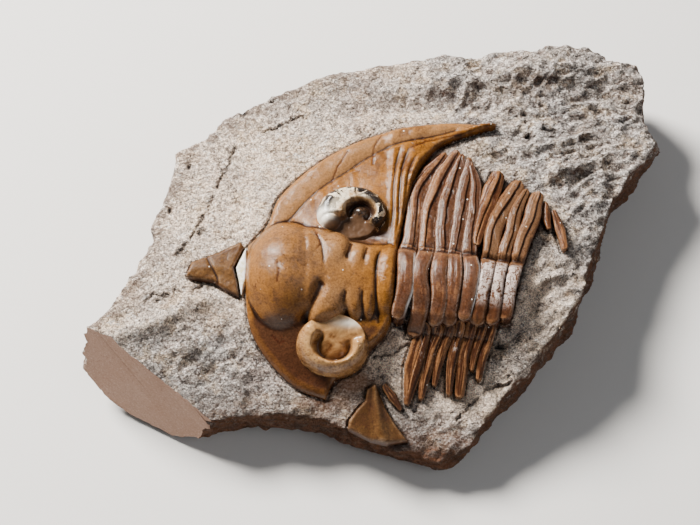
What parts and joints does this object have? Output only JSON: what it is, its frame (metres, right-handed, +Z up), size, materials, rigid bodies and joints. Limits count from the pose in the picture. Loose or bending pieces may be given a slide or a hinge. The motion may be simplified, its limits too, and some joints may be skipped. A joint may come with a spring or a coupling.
{
  "type": "trilobite fossil in matrix",
  "caption": "Brown spiny-cheeked trilobite lying back up on a rough limestone slab with one sawn end; its head is complete, its tail is missing and its left side plates are broken.",
  "frame": {"origin": "centre of the slab's outline, on the surface it rests on", "axes": "+Z up out of the bedding surface, +X from the animal's head towards its tail, +Y towards the animal's right side"},
  "size_m": [0.1036, 0.0761, 0.0271],
  "materials": {
    "limestone": "matt, rough broken stone",
    "shell": "glossy brown mineralised shell",
    "eye": "satin mineralised shell, paler than the rest",
    "filler": "matt pale plaster"
  },
  "bodies": {
    "root": {"limestone_slab": "limestone", "head_shield": "shell", "right_eye": "eye", "left_eye": "eye", "head_tongue": "shell", "break_filler": "filler", "stray_shell_piece": "shell", "thoracic_segment_1": "shell", "thoracic_segment_2": "shell", "thoracic_segment_3": "shell", "thoracic_segment_4": "shell", "thoracic_segment_5": "shell", "thoracic_segment_6": "shell", "thoracic_segment_7": "shell", "thoracic_segment_8": "shell", "left_side_plate_1": "shell", "left_side_plate_2": "shell", "left_side_plate_3": "shell", "left_side_plate_4": "shell", "left_side_plate_5": "shell", "left_side_plate_6": "shell", "left_side_plate_7": "shell", "left_side_plate_8": "shell", "loose_plate_tip_1": "shell", "loose_plate_tip_2": "shell", "lone_side_plate": "shell"}
  },
  "joints": []
}
